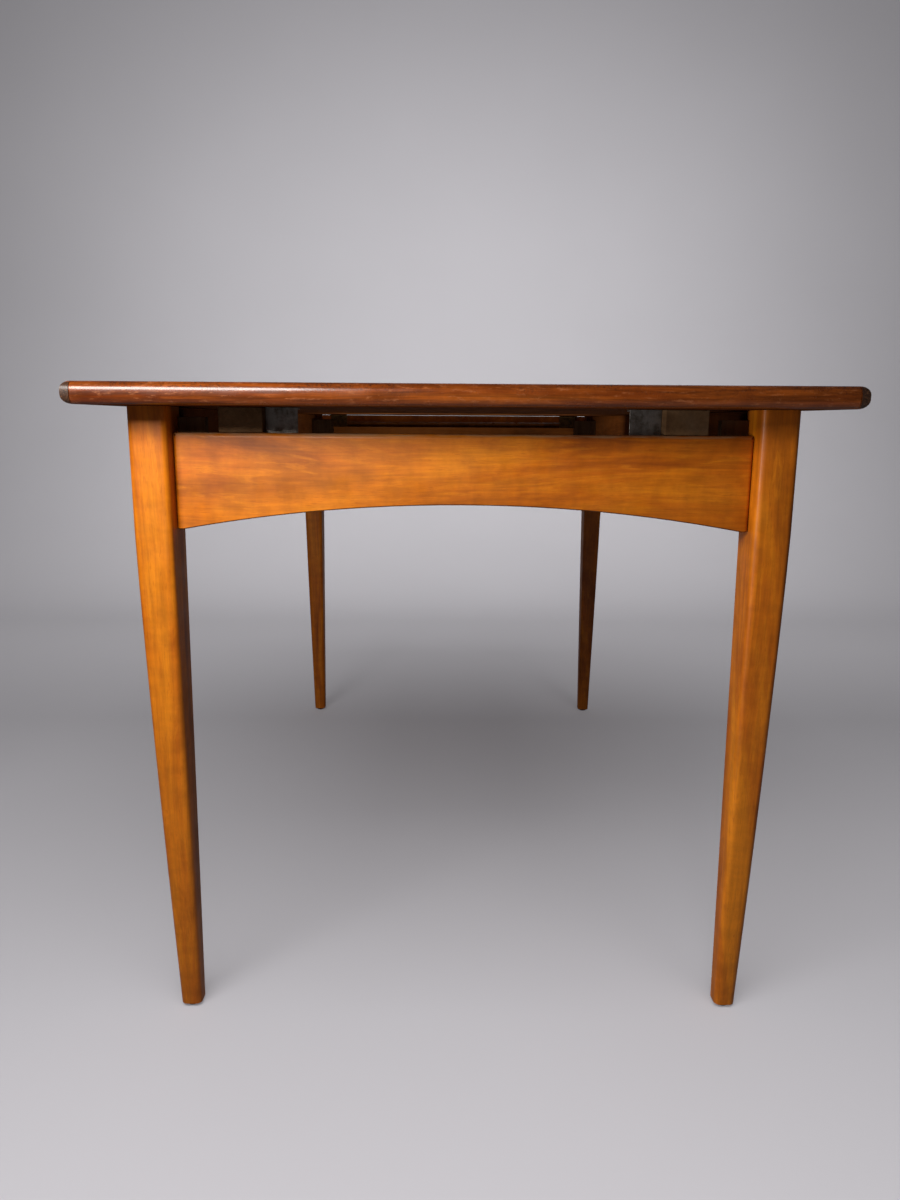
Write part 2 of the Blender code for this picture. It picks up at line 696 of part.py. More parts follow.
def stay(word, side, parts, cutters):
    """Two folding bars between a bracket on the far apron and a bracket on the leaf."""
    frame_pivot, leaf_pivot, knee = stay_points()
    inner, outer = stay_layer(side, 0), stay_layer(side, 1)
    apron_face = FAR_LEGS - APRON_RECESS + GAP
    leaf_face = HINGE_Y - GAP
    plate_edge = outer[1] if side > 0 else outer[0]
    root = outer[0] if side > 0 else outer[1]
    width = side * STAY_PLATE_WIDTH

    name = "stay_bracket_frame_" + word
    ear = [(apron_face, frame_pivot.y + STAY_PLATE_HALF)] + arc(frame_pivot, BAR_HALF_WIDTH, 90, -90, 12)
    ear += [(apron_face, frame_pivot.y - STAY_PLATE_HALF)]
    frame_bracket = add_object(name, slab_mesh(name, ear, "X", *outer), parts, steel)
    flange = box_mesh(name + "_flange", (root, apron_face, frame_pivot.y - STAY_PLATE_HALF),
                      (plate_edge + width, apron_face + STAY_PLATE, frame_pivot.y + STAY_PLATE_HALF))
    join(frame_bracket, tool(name + "_flange", flange, cutters))
    stud(frame_bracket, frame_pivot, outer, inner, cutters)
    smooth(frame_bracket)

    name = "stay_bracket_leaf_" + word
    ear = [(leaf_face, leaf_pivot.y - STAY_PLATE_HALF)] + arc(leaf_pivot, BAR_HALF_WIDTH, 270, 90, 12)
    ear += [(leaf_face, leaf_pivot.y + STAY_PLATE_HALF)]
    leaf_bracket = add_object(name, slab_mesh(name, ear, "X", *inner), parts, steel)
    inner_root = inner[1] if side > 0 else inner[0]
    inner_edge = inner[0] if side > 0 else inner[1]
    flange = box_mesh(name + "_flange", (inner_root, leaf_face - STAY_PLATE, leaf_pivot.y - STAY_PLATE_HALF),
                      (inner_edge - width, leaf_face, leaf_pivot.y + STAY_PLATE_HALF))
    join(leaf_bracket, tool(name + "_flange", flange, cutters))
    stud(leaf_bracket, leaf_pivot, inner, outer, cutters)
    smooth(leaf_bracket)

    name = "stay_arm_" + word
    arm = add_object(name, bar_mesh(name, frame_pivot, knee, inner), parts, steel)
    drill(arm, "bore", frame_pivot, STUD_RADIUS + STUD_CLEAR, inner, cutters)
    stud(arm, knee, inner, outer, cutters)
    smooth(arm)

    name = "stay_brace_" + word
    brace = add_object(name, bar_mesh(name, leaf_pivot, knee, outer), parts, steel)
    drill(brace, "bore", leaf_pivot, STUD_RADIUS + STUD_CLEAR, outer, cutters)
    drill(brace, "knee_bore", knee, STUD_RADIUS + KNEE_CLEAR, outer, cutters)
    smooth(brace)

    pivot("stay_arm_axis_" + word, (sum(inner) / 2, *frame_pivot), [arm])
    pivot("stay_brace_axis_" + word, (sum(outer) / 2, *leaf_pivot), [brace])
    return [leaf_bracket]


def build():
    clear_scene()
    parts = collection("drop_leaf_table")
    cutters = collection("cutters")
    fixed_top(parts, cutters)
    swinging = leaf(parts, cutters)
    for end_word, end in ENDS.items():
        end_apron(end_word, end, parts)
        for side_word, side in SIDES.items():
            word = f"{end_word}_{side_word}"
            leg(word, side, end, parts, cutters)
            glide(word, side, end, parts)
            corner_block(word, side, end, parts, cutters)
            hanger_bolt(word, side, end, parts)
            wing_nut(word, side, end, parts, cutters)
    for word, side in SIDES.items():
        bracket(word, side, parts, cutters)
        side_rail(word, side, parts)
        bearer(word, side, parts)
        swinging += hinge(word, side, parts, cutters)
        swinging += stay(word, side, parts, cutters)
    pivot("leaf_axis", (0.0, HINGE_Y, UNDERSIDE), swinging)


build()
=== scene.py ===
"""Looks for the drop leaf table: finished wood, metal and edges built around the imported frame."""
import json
import math
from collections import namedtuple

import bmesh
import bpy
from mathutils import Matrix, Vector


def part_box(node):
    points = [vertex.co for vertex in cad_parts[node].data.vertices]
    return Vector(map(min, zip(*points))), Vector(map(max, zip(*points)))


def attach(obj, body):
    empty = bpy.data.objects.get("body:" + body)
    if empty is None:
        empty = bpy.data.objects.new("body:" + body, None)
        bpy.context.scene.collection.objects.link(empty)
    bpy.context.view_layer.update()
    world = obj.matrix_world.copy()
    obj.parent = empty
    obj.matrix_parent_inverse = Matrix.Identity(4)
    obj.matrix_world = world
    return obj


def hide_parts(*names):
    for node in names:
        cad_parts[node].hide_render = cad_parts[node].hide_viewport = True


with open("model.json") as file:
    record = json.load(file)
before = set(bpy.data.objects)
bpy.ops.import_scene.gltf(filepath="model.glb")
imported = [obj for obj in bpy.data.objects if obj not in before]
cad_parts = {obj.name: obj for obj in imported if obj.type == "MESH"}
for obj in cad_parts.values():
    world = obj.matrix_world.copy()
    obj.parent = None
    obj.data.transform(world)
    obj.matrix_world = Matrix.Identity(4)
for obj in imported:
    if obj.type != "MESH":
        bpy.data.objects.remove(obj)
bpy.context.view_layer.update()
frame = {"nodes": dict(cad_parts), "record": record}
record = frame["record"]
SLOT_OF = {row["node"]: row["material_slot"] for row in record["subparts"]}
BODY_OF = {node: body for body, nodes in record["behaviour"]["bodies"].items() for node in nodes}


# ---------------------------------------------------------------- node helpers


def new_material(name):
    made = bpy.data.materials.new(name)
    made.use_nodes = True
    tree = made.node_tree
    return made, tree, tree.nodes["Principled BSDF"]


def node(tree, kind, inputs=None, **settings):
    """A node with its settings, each input linked to a socket or set to a plain value."""
    made = tree.nodes.new(kind)
    for key, value in settings.items():
        setattr(made, key, value)
    for key, value in (inputs or {}).items():
        if isinstance(value, bpy.types.NodeSocket):
            tree.links.new(value, made.inputs[key])
        else:
            made.inputs[key].default_value = value
    return made


def scaled(tree, vector, scale):
    """Coordinates stretched by a different amount along each axis."""
    return node(tree, "ShaderNodeMapping", {"Vector": vector, "Scale": scale}).outputs[0]


def noise(tree, vector, scale=1.0, detail=4.0, roughness=0.5, distortion=0.0):
    return node(tree, "ShaderNodeTexNoise", {
        "Vector": vector, "Scale": scale, "Detail": detail, "Roughness": roughness,
        "Distortion": distortion}).outputs["Fac"]


def ramp(tree, factor, stops):
    """A colour ramp from (position, colour) pairs; a number stands for a grey."""
    made = node(tree, "ShaderNodeValToRGB", {"Fac": factor})
    band = made.color_ramp
    while len(band.elements) < len(stops):
        band.elements.new(0.5)
    for element, (place, colour) in zip(band.elements, stops):
        element.position = place
        element.color = (*([colour] * 3 if isinstance(colour, float) else colour), 1.0)
    return made.outputs["Color"]


def opaque(colour):
    """A plain colour with its alpha; a socket stays as it is."""
    return colour if isinstance(colour, bpy.types.NodeSocket) else (*colour, 1.0)


def mix(tree, factor, a, b, blend="MIX"):
    sides = {0: factor, 6: opaque(a), 7: opaque(b)}
    return node(tree, "ShaderNodeMix", sides, data_type="RGBA", blend_type=blend).outputs[2]


def maths(tree, operation, a, b):
    return node(tree, "ShaderNodeMath", {0: a, 1: b}, operation=operation).outputs[0]


def vector_maths(tree, operation, inputs):
    return node(tree, "ShaderNodeVectorMath", inputs, operation=operation).outputs[0]


def span(tree, value, low, high, to_low=0.0, to_high=1.0):
    """Maps the values between low and high onto another range, and clamps the rest."""
    return node(tree, "ShaderNodeMapRange", {
        "Value": value, "From Min": low, "From Max": high, "To Min": to_low, "To Max": to_high}).outputs[0]


def relief(tree, shader, height, strength, distance):
    bump = node(tree, "ShaderNodeBump", {"Height": height, "Strength": strength, "Distance": distance})
    tree.links.new(bump.outputs[0], shader.inputs["Normal"])


# ---------------------------------------------------------------- materials

# A wood on its way to being a material: its nodes so far, and how glossy it is to be.
Board = namedtuple("Board", "made tree shader place colour lines gloss coat")


def along(axis, lengthwise, across):
    """Scale for coordinates that run slowly along one axis and fast across it."""
    return tuple(lengthwise if letter == axis else across for letter in "XYZ")


def board_coordinates(tree, axis):
    """Object coordinates, bent a little so that the figure wanders as in a sawn board."""
    place = node(tree, "ShaderNodeTexCoord").outputs["Object"]
    drift = node(tree, "ShaderNodeTexNoise", {"Vector": scaled(tree, place, along(axis, 1.6, 5.0)),
                                              "Scale": 1.0, "Detail": 2.0}).outputs["Color"]
    bend = vector_maths(tree, "SUBTRACT", {0: drift, 1: (0.5, 0.5, 0.5)})
    bend = vector_maths(tree, "SCALE", {0: bend, "Scale": 0.035})
    return place, vector_maths(tree, "ADD", {0: place, 1: bend})


def wood(name, axis, dark, middle, pale, gloss=0.44, coat=0.06):
    """Flame figure, clouds, flecks, growth lines and pores, with the grain along one axis."""
    made, tree, shader = new_material(name)
    place, bent = board_coordinates(tree, axis)
    flame = noise(tree, scaled(tree, bent, along(axis, 1.6, 13.0)), detail=6.0, roughness=0.6,
                  distortion=2.0)
    colour = ramp(tree, flame, [(0.35, dark), (0.50, middle), (0.65, pale)])
    cloud = noise(tree, scaled(tree, bent, along(axis, 5.0, 11.0)), detail=4.0, roughness=0.6,
                  distortion=0.6)
    colour = mix(tree, span(tree, cloud, 0.42, 0.74, 0.0, 0.65), colour, pale)
    shade = noise(tree, scaled(tree, bent, along(axis, 9.0, 20.0)), detail=4.0, distortion=1.0)
    colour = mix(tree, span(tree, shade, 0.50, 0.78, 0.0, 0.60), colour, dark)
    flecks = noise(tree, scaled(tree, bent, along(axis, 16.0, 120.0)), detail=4.0, roughness=0.6,
                   distortion=1.2)
    colour = mix(tree, span(tree, flecks, 0.54, 0.70, 0.0, 0.50), colour, pale)
    colour = mix(tree, span(tree, flecks, 0.44, 0.30, 0.0, 0.20), colour, dark)
    curl = noise(tree, scaled(tree, bent, along(axis, 60.0, 34.0)), detail=3.0, roughness=0.6)
    colour = mix(tree, 1.0, colour, ramp(tree, curl, [(0.35, 0.84), (0.62, 1.0)]), "MULTIPLY")
    lines = noise(tree, scaled(tree, bent, along(axis, 9.0, 260.0)), detail=4.0, roughness=0.65)
    colour = mix(tree, 1.0, colour, ramp(tree, lines, [(0.36, 0.82), (0.58, 1.0)]), "MULTIPLY")
    pores = noise(tree, scaled(tree, place, along(axis, 90.0, 1100.0)), detail=1.0)
    colour = mix(tree, maths(tree, "MULTIPLY", span(tree, pores, 0.64, 0.72), 0.35), colour, dark)
    return Board(made, tree, shader, place, colour, lines, gloss, coat)


def lacquer(board):
    """Puts the satin coat on a wood: uneven sheen and a relief that follows the grain."""
    tree, shader = board.tree, board.shader
    tree.links.new(board.colour, shader.inputs["Base Color"])
    sheen = noise(tree, board.place, scale=38.0, detail=4.0, roughness=0.6)
    roughness = span(tree, sheen, 0.3, 0.7, board.gloss - 0.05, board.gloss + 0.08)
    tree.links.new(roughness, shader.inputs["Roughness"])
    shader.inputs["Specular IOR Level"].default_value = 0.27
    shader.inputs["Coat Weight"].default_value = board.coat
    shader.inputs["Coat Roughness"].default_value = 0.20
    relief(tree, shader, board.lines, 0.08, 0.0004)
    return board.made


def handled(board, low, high, amount=0.85):
    """Adds dark specks, most of them near the top, and the rubbed patches of years of hands."""
    tree, place, lines = board.tree, board.place, board.lines
    specks = noise(tree, place, scale=420.0, detail=5.0, roughness=0.75)
    patches = noise(tree, scaled(tree, place, (16.0, 16.0, 60.0)), detail=3.0, roughness=0.6)
    colour = mix(tree, 1.0, board.colour, ramp(tree, lines, [(0.38, 0.60), (0.60, 1.0)]), "MULTIPLY")
    height = node(tree, "ShaderNodeSeparateXYZ", {"Vector": place}).outputs[2]
    upper = span(tree, height, low + 0.50 * (high - low), low + 0.85 * (high - low), 0.10, 1.0)
    mask = maths(tree, "MULTIPLY", span(tree, specks, 0.50, 0.60), span(tree, patches, 0.40, 0.58))
    mask = maths(tree, "MULTIPLY", maths(tree, "MULTIPLY", mask, upper), amount)
    colour = mix(tree, mask, colour, (0.022, 0.008, 0.005))
    rubbed = noise(tree, scaled(tree, place, (70.0, 70.0, 260.0)), detail=4.0, roughness=0.7)
    colour = mix(tree, span(tree, rubbed, 0.56, 0.72, 0.0, 0.5), colour, (0.42, 0.15, 0.055))
    dents = noise(tree, place, scale=650.0, detail=3.0, roughness=0.7)
    dented = maths(tree, "ADD", lines, maths(tree, "MULTIPLY", dents, 1.6))
    return board._replace(colour=colour, lines=dented)


def rim_highlight_and_scuffs(board, rim):
    """A pale band on an apron's rounded top edge: a painted highlight of the lit rounding, broken up by
    scuffs where the stain has worn.
    """
    tree = board.tree
    height = node(tree, "ShaderNodeSeparateXYZ", {"Vector": board.place}).outputs[2]
    near_rim = span(tree, height, rim - 0.0040, rim - 0.0012)
    scuffs = noise(tree, scaled(tree, board.place, (22.0, 120.0, 260.0)), detail=4.0, roughness=0.65)
    mask = maths(tree, "MULTIPLY", near_rim, span(tree, scuffs, 0.40, 0.60, 0.0, 0.75))
    # Painted highlight: the pale colour on the rim stands for light on the rounded edge, mixed with
    # scuffs.
    return board._replace(colour=mix(tree, mask, board.colour, (0.40, 0.25, 0.14)))


def end_grain(name):
    """The cut ends of the lippings: dark, with the rings and pores showing as fine dots."""
    made, tree, shader = new_material(name)
    place = node(tree, "ShaderNodeTexCoord").outputs["Object"]
    dots = noise(tree, place, scale=900.0, detail=3.0, roughness=0.7)
    rings = noise(tree, scaled(tree, place, (260.0, 40.0, 90.0)), detail=2.0)
    tone = ramp(tree, dots, [(0.38, (0.012, 0.006, 0.004)), (0.55, (0.055, 0.024, 0.012)),
                             (0.70, (0.16, 0.075, 0.035))])
    tone = mix(tree, span(tree, rings, 0.45, 0.60, 0.0, 0.5), tone, (0.03, 0.013, 0.008))
    tree.links.new(tone, shader.inputs["Base Color"])
    tree.links.new(span(tree, dots, 0.3, 0.7, 0.28, 0.45), shader.inputs["Roughness"])
    shader.inputs["Specular IOR Level"].default_value = 0.30
    shader.inputs["Coat Weight"].default_value = 0.10
    shader.inputs["Coat Roughness"].default_value = 0.20
    relief(tree, shader, dots, 0.2, 0.0003)
    return made


def bare(board, dust_tone=(0.16, 0.13, 0.10)):
    """Unlacquered wood on the faces that never show: dry, dusty and matt."""
    tree, shader = board.tree, board.shader
    dust = noise(tree, board.place, scale=30.0, detail=5.0, roughness=0.65)
    colour = mix(tree, span(tree, dust, 0.45, 0.75, 0.0, 0.25), board.colour, dust_tone)
    tree.links.new(colour, shader.inputs["Base Color"])
    shader.inputs["Roughness"].default_value = 0.85
    shader.inputs["Specular IOR Level"].default_value = 0.04
    relief(tree, shader, board.lines, 0.25, 0.0006)
    return board.made


def metal(name, colour, tarnish, gloss):
    """Rolled metal: faint scratches, cloudy tarnish and uneven sheen."""
    made, tree, shader = new_material(name)
    place = node(tree, "ShaderNodeTexCoord").outputs["Object"]
    cloud = noise(tree, place, scale=90.0, detail=5.0, roughness=0.65)
    scratches = noise(tree, scaled(tree, place, (2200.0, 160.0, 160.0)), detail=2.0)
    base = mix(tree, span(tree, cloud, 0.42, 0.68), colour, tarnish)
    base = mix(tree, 1.0, base, ramp(tree, scratches, [(0.35, 0.84), (0.60, 1.0)]), "MULTIPLY")
    tree.links.new(base, shader.inputs["Base Color"])
    tree.links.new(span(tree, cloud, 0.3, 0.7, gloss, gloss + 0.22), shader.inputs["Roughness"])
    shader.inputs["Metallic"].default_value = 1.0
    relief(tree, shader, scratches, 0.12, 0.0002)
    return made


def plastic(name, colour):
    """Hard moulded plastic, scuffed where it meets the floor."""
    made, tree, shader = new_material(name)
    place = node(tree, "ShaderNodeTexCoord").outputs["Object"]
    grain = noise(tree, place, scale=900.0, detail=2.0)
    scuff = noise(tree, place, scale=240.0, detail=4.0, roughness=0.7)
    base = mix(tree, span(tree, scuff, 0.52, 0.75, 0.0, 0.5), colour, tuple(3.0 * c for c in colour))
    tree.links.new(base, shader.inputs["Base Color"])
    tree.links.new(span(tree, scuff, 0.3, 0.7, 0.45, 0.65), shader.inputs["Roughness"])
    relief(tree, shader, grain, 0.15, 0.0002)
    return made


def studio(name, colour):
    """The pale sweep. It throws less light back on the table than the camera sees on it."""
    made, tree, shader = new_material(name)
    place = node(tree, "ShaderNodeTexCoord").outputs["Object"]
    cloud = noise(tree, place, scale=1.4, detail=3.0)
    tone = ramp(tree, cloud, [(0.3, tuple(0.97 * c for c in colour)), (0.7, colour)])
    bounce_share = 0.36
    seen = node(tree, "ShaderNodeLightPath").outputs["Is Camera Ray"]
    dimmed = mix(tree, 1.0, tone, (bounce_share,) * 3, "MULTIPLY")
    tone = mix(tree, seen, dimmed, tone)
    tree.links.new(tone, shader.inputs["Base Color"])
    tree.links.new(tone, shader.inputs["Emission Color"])
    shader.inputs["Emission Strength"].default_value = 0.15
    shader.inputs["Roughness"].default_value = 0.75
    return made


HONEY = {"dark": (0.29, 0.062, 0.0020), "middle": (0.53, 0.125, 0.0026), "pale": (0.71, 0.214, 0.0060)}
RUSSET = {"dark": (0.115, 0.020, 0.0015), "middle": (0.220, 0.044, 0.0035), "pale": (0.36, 0.088, 0.0090)}
RAW = {"dark": (0.105, 0.050, 0.020), "middle": (0.150, 0.078, 0.034), "pale": (0.21, 0.120, 0.058)}
STAIN = {"dark": (0.10, 0.026, 0.0040), "middle": (0.16, 0.044, 0.0070), "pale": (0.22, 0.066, 0.0120)}
# Tones for the eased edges: painted shade along every arris, together with darker stain.
EDGE_STAIN_AND_SHADE_TONES = {tone: tuple(0.30 * c for c in colour) for tone, colour in HONEY.items()}
RUSSET_DUST = (0.13, 0.060, 0.025)
POLISHED = {"gloss": 0.30, "coat": 0.15}
HIGH_POLISH = {"gloss": 0.24, "coat": 0.35}
lipping_low, lipping_high = (corner.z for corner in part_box("top_lipping_near"))
apron_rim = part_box("apron_near")[1].z

# The main material of each slot, for each way that the grain runs in it.
FINISH = {
    # The aprons' top rim carries a painted highlight, mixed with scuffs.
    ("base_wood", "X"): lacquer(rim_highlight_and_scuffs(wood("honey_wood_across", "X", **HONEY), apron_rim)),
    ("base_wood", "Y"): lacquer(wood("honey_wood_lengthwise", "Y", **HONEY)),
    ("base_wood", "Z"): lacquer(wood("honey_wood_upright", "Z", **HONEY)),
    ("top_wood", "Y"): lacquer(wood("russet_wood_lengthwise", "Y", **RUSSET, **POLISHED)),
    ("top_wood", "Z"): lacquer(wood("russet_wood_upright", "Z", **RUSSET, **POLISHED)),
    ("inner_wood", "Y"): bare(wood("unstained_wood", "Y", **RAW)),
    ("inner_wood", "Z"): bare(wood("unstained_wood_upright", "Z", **RAW)),
    ("steel", ""): metal("dull_steel", (0.42, 0.39, 0.35), (0.17, 0.14, 0.11), 0.42),
    ("brass", ""): metal("dull_brass", (0.55, 0.38, 0.15), (0.20, 0.13, 0.06), 0.34),
    ("glide_plastic", ""): plastic("black_plastic", (0.030, 0.025, 0.022)),
}
# What covers only some pieces or faces, for each way that the grain runs.
INNER_FACE = {}
LIPPING = {}
# Eased edges: painted edge shade mixed with darker stain.
EDGE_STAIN_AND_SHADE = {}
for axis in "XYZ":
    hidden_wood = wood("stained_inner_" + axis.lower(), axis, **STAIN)
    lipping_wood = wood("russet_lipping_" + axis.lower(), axis, **RUSSET, **HIGH_POLISH)
    INNER_FACE[axis] = bare(hidden_wood, dust_tone=RUSSET_DUST)
    LIPPING[axis] = lacquer(handled(lipping_wood, lipping_low, lipping_high))
    EDGE_STAIN_AND_SHADE[axis] = lacquer(wood("darkened_edge_" + axis.lower(), axis, **EDGE_STAIN_AND_SHADE_TONES))
END_GRAIN = end_grain("lipping_end_grain")


def grain_axis(name):
    """The way the grain runs in each wooden piece."""
    if name.startswith(("leg", "corner_block", "leaf_lipping_left", "leaf_lipping_right", "leaf_panel")):
        return "Z"
    if name.startswith(("apron", "top_lipping_near", "leaf_lipping_end")):
        return "X"
    return "Y"


def finish_of(name):
    """The main material of a CAD node."""
    slot = SLOT_OF[name]
    if "lipping" in name:
        return LIPPING[grain_axis(name)]
    return FINISH[(slot, grain_axis(name) if slot.endswith("wood") else "")]


# ---------------------------------------------------------------- pieces

# How far the edges are eased in each slot, and how sharply a face has to turn to make an edge.
EASED = {"base_wood": 0.0012, "top_wood": 0.0007, "inner_wood": 0.0012,
         "steel": 0.0003, "brass": 0.0003, "glide_plastic": 0.0003}
SHARP = math.radians(34)
SAME_POINT = 0.000002
SAME_PLANE = 0.002
END_GRAIN_DEPTH = 0.010


def inward(name):
    """The direction that a board's hidden face looks in, or None where every face is finished."""
    low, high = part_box(name)
    middle = (low + high) / 2
    if name.startswith("top_"):
        return Vector((0, 0, -1))
    if name == "leaf_panel":
        return Vector((0, -1, 0))
    if name.startswith("rail"):
        return Vector((-math.copysign(1, middle.x), 0, 0))
    if name.startswith("apron"):
        return Vector((0, -math.copysign(1, middle.y), 0))
    return None


def dress_faces(made, name):
    """Stained but unpolished wood on hidden faces, end grain on the lippings' near ends."""
    hidden = inward(name)
    mesh = made.data
    if hidden:
        mesh.materials.append(INNER_FACE[grain_axis(name)])
        for face in mesh.polygons:
            if face.normal.dot(hidden) > 0.99:
                face.material_index = 1
    if name in ("top_lipping_left", "top_lipping_right"):
        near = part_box(name)[0].y
        mesh.materials.append(END_GRAIN)
        for face in mesh.polygons:
            if face.normal.y < -0.5 and face.center.y < near + END_GRAIN_DEPTH:
                face.material_index = 2


def refined(name):
    """A CAD node rebuilt as a clean mesh with eased edges, which stands for the node."""
    source = frame["nodes"][name]
    form = bmesh.new()
    form.from_mesh(source.data)
    bmesh.ops.remove_doubles(form, verts=form.verts, dist=SAME_POINT)
    bmesh.ops.dissolve_limit(form, angle_limit=SAME_PLANE, verts=form.verts, edges=form.edges)
    bmesh.ops.recalc_face_normals(form, faces=form.faces)
    mesh = bpy.data.meshes.new(name + "_mesh")
    form.to_mesh(mesh)
    form.free()
    made = bpy.data.objects.new(name + "_finished", mesh)
    bpy.context.scene.collection.objects.link(made)
    eased = made.modifiers.new("eased", "BEVEL")
    eased.width = EASED[SLOT_OF[name]]
    eased.segments = 2
    eased.limit_method = "ANGLE"
    eased.angle_limit = SHARP
    eased.harden_normals = True
    mesh.materials.append(finish_of(name))
    mesh.shade_smooth()
    mesh.set_sharp_from_angle(angle=SHARP)
    dress_faces(made, name)
    # The eased edges of base wood get painted shade, mixed with darker stain.
    if SLOT_OF[name] == "base_wood":
        mesh.materials.append(EDGE_STAIN_AND_SHADE[grain_axis(name)])
        eased.material = len(mesh.materials) - 1
    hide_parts(name)
    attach(made, BODY_OF[name])
    return made


finished = [refined(node_name) for node_name in sorted(frame["nodes"])]


# ---------------------------------------------------------------- screws

HEAD_RADIUS = 0.0031
HEAD_HEIGHT = 0.0009
SLOT_WIDTH = 0.0008
RIM_STEPS = 12
LOWER_TAPER = 0.98
UPPER_TAPER = 0.8
SLOT_TURN = 2.4
NUMBERS_PER_SIDE = 10
CLEARANCE = 0.01
HINGE_HOLES = [(0.18, 0.30), (0.50, 0.22), (0.82, 0.30)]
STAY_HOLES = [(0.5, 0.80), (0.5, 0.20)]
# For each kind of fitting: the way its screws face, and where they sit as shares of its box.
SCREWS = {
    "bracket": [((0, 1, 0), [(0.30, 0.30), (0.72, 0.30)]), ((0, 0, -1), [(0.5, 0.62)])],
    "hinge_plate_fixed": [((0, 0, -1), HINGE_HOLES)],
    "hinge_plate_leaf": [((0, -1, 0), HINGE_HOLES)],
    "stay_bracket_frame": [((1, 0, 0), STAY_HOLES), ((-1, 0, 0), STAY_HOLES)],
    "stay_bracket_leaf": [((0, -1, 0), [(0.5, 0.82), (0.5, 0.18)])],
}


def half_disc(form, side, low, high):
    """One half of a slotted head: a circle's segment, raised and drawn in towards the top."""
    start = math.asin(SLOT_WIDTH / 2 / HEAD_RADIUS)
    angles = [start + (math.pi - 2 * start) * step / RIM_STEPS for step in range(RIM_STEPS + 1)]
    rows = []
    for radius, z in ((HEAD_RADIUS, low), (HEAD_RADIUS * UPPER_TAPER, high)):
        corners = [(radius * math.cos(a), side * radius * math.sin(a), z) for a in angles]
        rows.append([form.verts.new(corner) for corner in corners])
    for a, b in zip(range(RIM_STEPS + 1), [*range(1, RIM_STEPS + 1), 0]):
        form.faces.new((rows[0][a], rows[0][b], rows[1][b], rows[1][a]))
    form.faces.new(rows[1])
    form.faces.new(rows[0])


def screw(name, place, facing, turn, host):
    """A slotted screw head seated on a fitting, which rides with it."""
    form = bmesh.new()
    seat = -HEAD_HEIGHT / 2
    bmesh.ops.create_cone(form, cap_ends=True, segments=2 * RIM_STEPS, radius1=HEAD_RADIUS,
                          radius2=HEAD_RADIUS * LOWER_TAPER, depth=HEAD_HEIGHT)
    for side in (-1, 1):
        half_disc(form, side, seat + HEAD_HEIGHT, seat + 2 * HEAD_HEIGHT)
    bmesh.ops.recalc_face_normals(form, faces=form.faces)
    mesh = bpy.data.meshes.new(name)
    form.to_mesh(mesh)
    form.free()
    mesh.materials.append(FINISH[(SLOT_OF[host], "")])
    mesh.shade_smooth()
    mesh.set_sharp_from_angle(angle=SHARP)
    made = bpy.data.objects.new(name, mesh)
    lean = facing.to_track_quat("Z", "X").to_matrix().to_4x4() @ Matrix.Rotation(turn, 4, "Z")
    made.matrix_world = Matrix.Translation(place) @ lean
    bpy.context.scene.collection.objects.link(made)
    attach(made, BODY_OF[host])
    return made


def fitted_screws(made, host, facing, shares, first):
    """Casts a ray onto a fitting for each screw, and seats a head where it lands."""
    low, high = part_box(host)
    across = [axis for axis in range(3) if abs(facing[axis]) < 0.5]
    heads = []
    for number, share in enumerate(shares, start=first):
        start = Vector(high if max(facing) > 0.5 else low) + CLEARANCE * facing
        for axis, part in zip(across, share):
            start[axis] = low[axis] + part * (high[axis] - low[axis])
        local = made.matrix_world.inverted()
        hit, place, normal, _ = made.ray_cast(local @ start, local.to_3x3() @ -facing)
        if hit and (made.matrix_world.to_3x3() @ normal).dot(facing) > 0.9:
            seat = made.matrix_world @ place
            heads.append(screw(f"screw_{host}_{number}", seat, facing, SLOT_TURN * number, host))
    return heads


def all_screws():
    """Every fitting's screws, numbered anew in tens for each side that they face."""
    bpy.context.view_layer.update()
    heads = []
    for made in list(finished):
        host = made.name.removesuffix("_finished")
        rows = SCREWS.get(host.removesuffix("_left").removesuffix("_right"), [])
        for side, (facing, shares) in enumerate(rows):
            heads += fitted_screws(made, host, Vector(facing), shares, NUMBERS_PER_SIDE * side)
    return heads


finished += all_screws()


# ---------------------------------------------------------------- stage, light and camera

def ground():
    """A seamless sweep: a wide floor that curves up into a backdrop."""
    half, front, bend, radius, top = 6.0, -5.0, 1.7, 1.6, 4.5
    steps = 24
    angles = [math.radians(step * 90 / steps) for step in range(1, steps + 1)]
    profile = [(front, 0.0), (bend, 0.0)]
    profile += [(bend + radius * math.sin(a), radius - radius * math.cos(a)) for a in angles]
    profile.append((bend + radius, top))
    form = bmesh.new()
    rows = [[form.verts.new((x, y, z)) for x in (-half, half)] for y, z in profile]
    for a, b in zip(rows, rows[1:]):
        form.faces.new((a[0], a[1], b[1], b[0]))
    mesh = bpy.data.meshes.new("sweep")
    form.to_mesh(mesh)
    form.free()
    mesh.shade_smooth()
    made = bpy.data.objects.new("sweep", mesh)
    bpy.context.scene.collection.objects.link(made)
    mesh.materials.append(studio("pale_sweep", (0.50, 0.485, 0.51)))
    return made


def softbox(name, place, target, size, power, receivers, colour=(1.0, 1.0, 1.0), shadeless=False):
    """A soft light that reaches only its receivers.

    Everything casts a shadow in it. In a shadeless one, only the receivers do.
    """
    data = bpy.data.lights.new(name, "AREA")
    data.shape = "RECTANGLE"
    data.size, data.size_y = size
    data.energy = power
    data.color = colour
    made = bpy.data.objects.new(name, data)
    made.location = place
    made.rotation_euler = (Vector(target) - Vector(place)).to_track_quat("-Z", "Y").to_euler()
    made.visible_camera = False
    bpy.context.scene.collection.objects.link(made)
    group = bpy.data.collections.new("lit_by_" + name)
    for thing in receivers:
        group.objects.link(thing)
    made.light_linking.receiver_collection = group
    if shadeless:
        made.light_linking.blocker_collection = group


def named(things, *starts):
    """The things whose names begin with one of the starts."""
    return [thing for thing in things if thing.name.startswith(starts)]


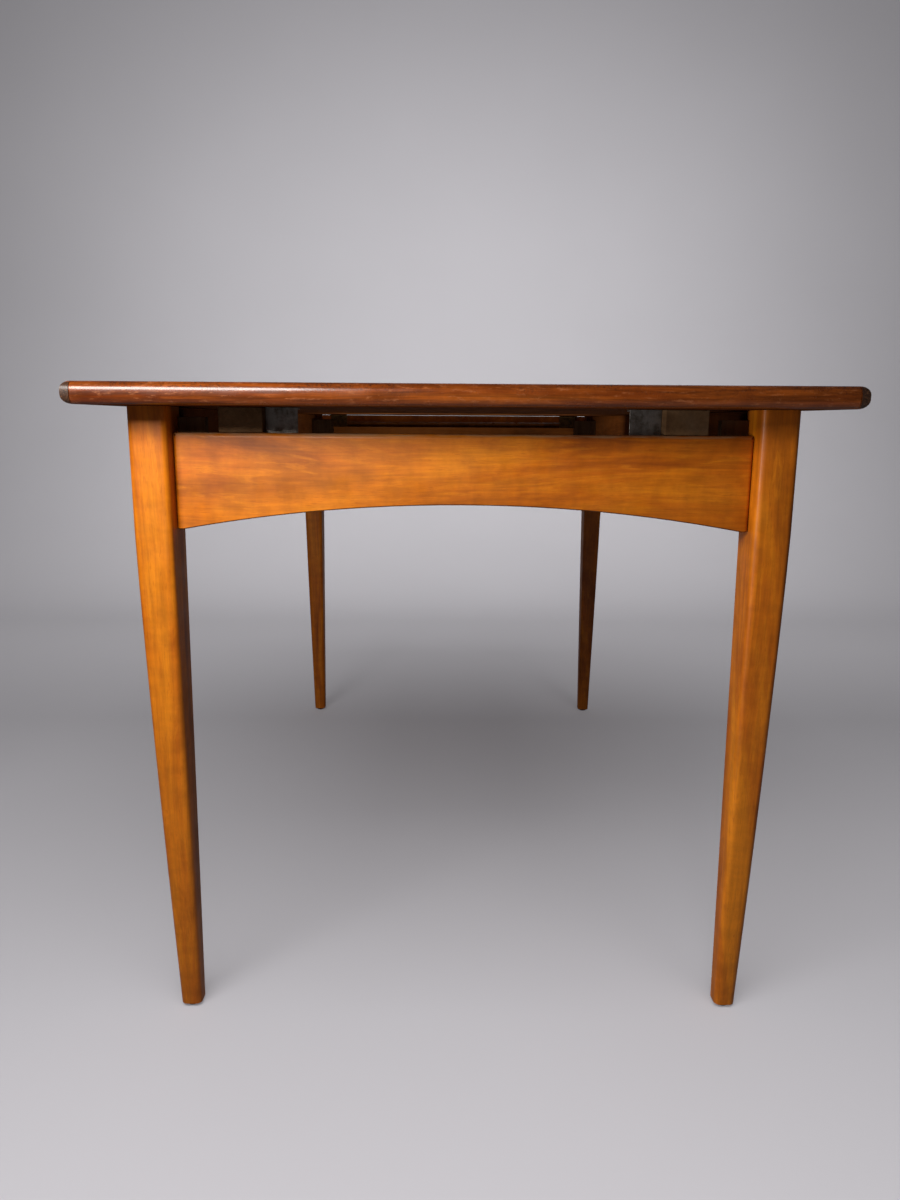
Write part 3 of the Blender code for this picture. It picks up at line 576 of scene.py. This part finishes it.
def room():
    """The faint even light of the studio."""
    world = bpy.data.worlds.new("room")
    bpy.context.scene.world = world
    world.use_nodes = True
    world.node_tree.nodes["Background"].inputs["Color"].default_value = (0.80, 0.79, 0.83, 1.0)
    world.node_tree.nodes["Background"].inputs["Strength"].default_value = 0.08


def lights(sweep, table):
    """Four lights on the table, three on the floor and two on the backdrop behind it."""
    warm = (1.0, 0.97, 0.93)
    right_corner = named(table, "bearer_right", "bracket_right", "leg_near_right", "leaf_panel",
                         "screw_bracket_right")
    far_inside = named(table, "leaf", "apron_far", "rail", "top_panel")
    softbox("key", (-0.45, -1.20, 0.99), (-0.30, -0.60, 0.66), (0.42, 0.26), 10.2, table, warm)
    softbox("low", (-1.45, -1.25, 0.58), (0.30, -0.60, 0.62), (0.3, 0.2), 9.0, right_corner)
    softbox("inside", (0.0, 0.15, 0.665), (0.0, 0.66, 0.700), (0.50, 0.02), 0.50, far_inside)
    softbox("back", (0.6, 2.4, 2.6), (0.0, 0.2, 0.7), (2.0, 1.4), 12.0, table)
    softbox("floor_front", (0.0, -1.45, 1.35), (0.0, -1.0, 0.0), (2.4, 0.4), 11.0, [sweep], shadeless=True)
    softbox("grounding", (-0.35, -1.45, 1.30), (0.0, -0.8, 0.0), (1.2, 0.4), 10.0, [sweep])
    softbox("overhead", (0.0, -1.9, 3.2), (0.0, -1.2, 0.0), (2.6, 2.0), 39.0, [sweep])
    softbox("wall_wide", (0.0, 0.9, 1.7), (0.0, 3.3, 1.1), (3.2, 1.2), 29.0, [sweep], shadeless=True)
    softbox("wall_glow", (0.0, 1.6, 1.3), (0.0, 3.3, 1.2), (3.6, 0.4), 16.5, [sweep], shadeless=True)


def camera():
    """Low view from the fixed end, level with the underside of the top."""
    place = Vector((-0.0205, -1.5412, 0.7010))
    yaw, pitch, roll = -0.0070, 0.2003, 0.0068
    data = bpy.data.cameras.new("view")
    data.sensor_width = 36.0
    data.sensor_fit = "AUTO"
    data.lens = 26.4
    made = bpy.data.objects.new("view", data)
    aim = Matrix.Rotation(yaw, 4, "Z") @ Matrix.Rotation(math.pi / 2 - pitch, 4, "X")
    made.matrix_world = Matrix.Translation(place) @ aim @ Matrix.Rotation(roll, 4, "Z")
    bpy.context.scene.collection.objects.link(made)
    bpy.context.scene.camera = made


room()
lights(ground(), finished)
camera()
bpy.context.scene.view_settings.view_transform = "Standard"
